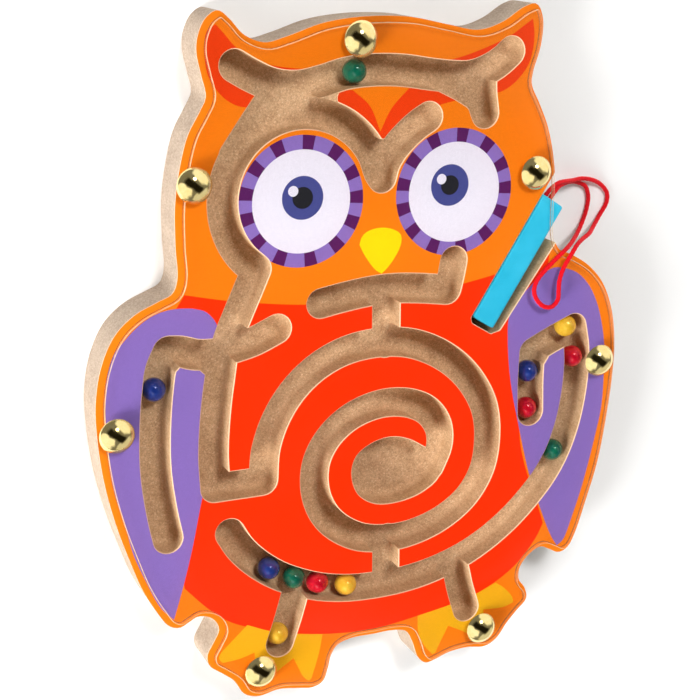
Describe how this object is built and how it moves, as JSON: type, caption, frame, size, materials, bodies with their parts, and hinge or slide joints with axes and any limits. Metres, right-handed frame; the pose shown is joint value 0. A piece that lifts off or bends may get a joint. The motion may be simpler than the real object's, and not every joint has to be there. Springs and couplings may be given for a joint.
{
  "type": "tilt maze game",
  "caption": "Owl-shaped wooden tilt maze with a printed face, clear cover on domed nails, loose steel balls and a magnet pen on a wrist cord",
  "frame": {"origin": "under the middle of the board's box, on the surface it lies on", "axes": "+X to the right of the face, +Y towards the ears, +Z out of the face"},
  "size_m": [0.1564, 0.1885, 0.0164],
  "materials": {
    "mdf": "routed medium-density fibreboard",
    "print": "laminated printed sheet in orange, red, purple and yellow",
    "clear": "clear acrylic",
    "brass": "polished",
    "cyan": "satin painted",
    "steel": "plated magnet",
    "cord": "twisted cord",
    "green": "gloss paint on steel",
    "blue": "gloss paint on steel",
    "red": "gloss paint on steel",
    "yellow": "gloss paint on steel"
  },
  "bodies": {
    "board": {"base_board": "mdf", "face_sheet": "print", "clear_cover": "clear", "dome_nail_1": "brass", "dome_nail_2": "brass", "dome_nail_3": "brass", "dome_nail_4": "brass", "dome_nail_5": "brass", "dome_nail_6": "brass", "dome_nail_7": "brass"},
    "pen": {"pen_body": "cyan", "pen_magnet": "steel", "wrist_cord": "cord"},
    "ball_green_1": {"ball_green_1": "green"},
    "ball_green_2": {"ball_green_2": "green"},
    "ball_green_3": {"ball_green_3": "green"},
    "ball_blue_1": {"ball_blue_1": "blue"},
    "ball_blue_2": {"ball_blue_2": "blue"},
    "ball_blue_3": {"ball_blue_3": "blue"},
    "ball_red_1": {"ball_red_1": "red"},
    "ball_red_2": {"ball_red_2": "red"},
    "ball_red_3": {"ball_red_3": "red"},
    "ball_yellow_1": {"ball_yellow_1": "yellow"},
    "ball_yellow_2": {"ball_yellow_2": "yellow"},
    "ball_yellow_3": {"ball_yellow_3": "yellow"}
  },
  "joints": [
    {"name": "pen_slide", "type": "slide", "parent": "board", "child": "pen", "axis": [0.5417, 0.8406, 0], "range_m": [0, 0.045]},
    {"name": "ball_green_1_roll", "type": "slide", "parent": "board", "child": "ball_green_1", "axis": [1, 0, 0], "range_m": [-0.004, 0.01]},
    {"name": "ball_blue_1_roll", "type": "slide", "parent": "board", "child": "ball_blue_1", "axis": [-0.0698, -0.9976, 0], "range_m": [-0.002, 0.02]},
    {"name": "ball_blue_2_roll", "type": "hinge", "parent": "board", "child": "ball_blue_2", "pos_m": [0.0032, -0.007, 0.0084], "axis": [0, 0, 1], "range_deg": [-9, 0]},
    {"name": "ball_green_2_roll", "type": "hinge", "parent": "board", "child": "ball_green_2", "pos_m": [0.0032, -0.007, 0.0084], "axis": [0, 0, 1], "range_deg": [-1.5, 0]},
    {"name": "ball_red_1_roll", "type": "hinge", "parent": "board", "child": "ball_red_1", "pos_m": [0.0032, -0.007, 0.0084], "axis": [0, 0, 1], "range_deg": [0, 1.5]},
    {"name": "ball_yellow_1_roll", "type": "hinge", "parent": "board", "child": "ball_yellow_1", "pos_m": [0.0032, -0.007, 0.0084], "axis": [0, 0, 1], "range_deg": [0, 20]},
    {"name": "ball_yellow_2_roll", "type": "slide", "parent": "board", "child": "ball_yellow_2", "axis": [0.3201, 0.9474, 0], "range_m": [-0.001, 0.007]},
    {"name": "ball_yellow_3_roll", "type": "slide", "parent": "board", "child": "ball_yellow_3", "axis": [-0.9207, -0.3903, 0], "range_m": [0, 0.009]},
    {"name": "ball_red_2_roll", "type": "slide", "parent": "board", "child": "ball_red_2", "axis": [-0.1, -0.995, 0], "range_m": [0, 0.014]},
    {"name": "ball_blue_3_roll", "type": "slide", "parent": "board", "child": "ball_blue_3", "axis": [0, 1, 0], "range_m": [-0.001, 0.0025]},
    {"name": "ball_red_3_roll", "type": "slide", "parent": "board", "child": "ball_red_3", "axis": [0, 1, 0], "range_m": [0, 0.0035]},
    {"name": "ball_green_3_roll", "type": "slide", "parent": "board", "child": "ball_green_3", "axis": [-0.5989, -0.8008, 0], "range_m": [0, 0.012]}
  ]
}
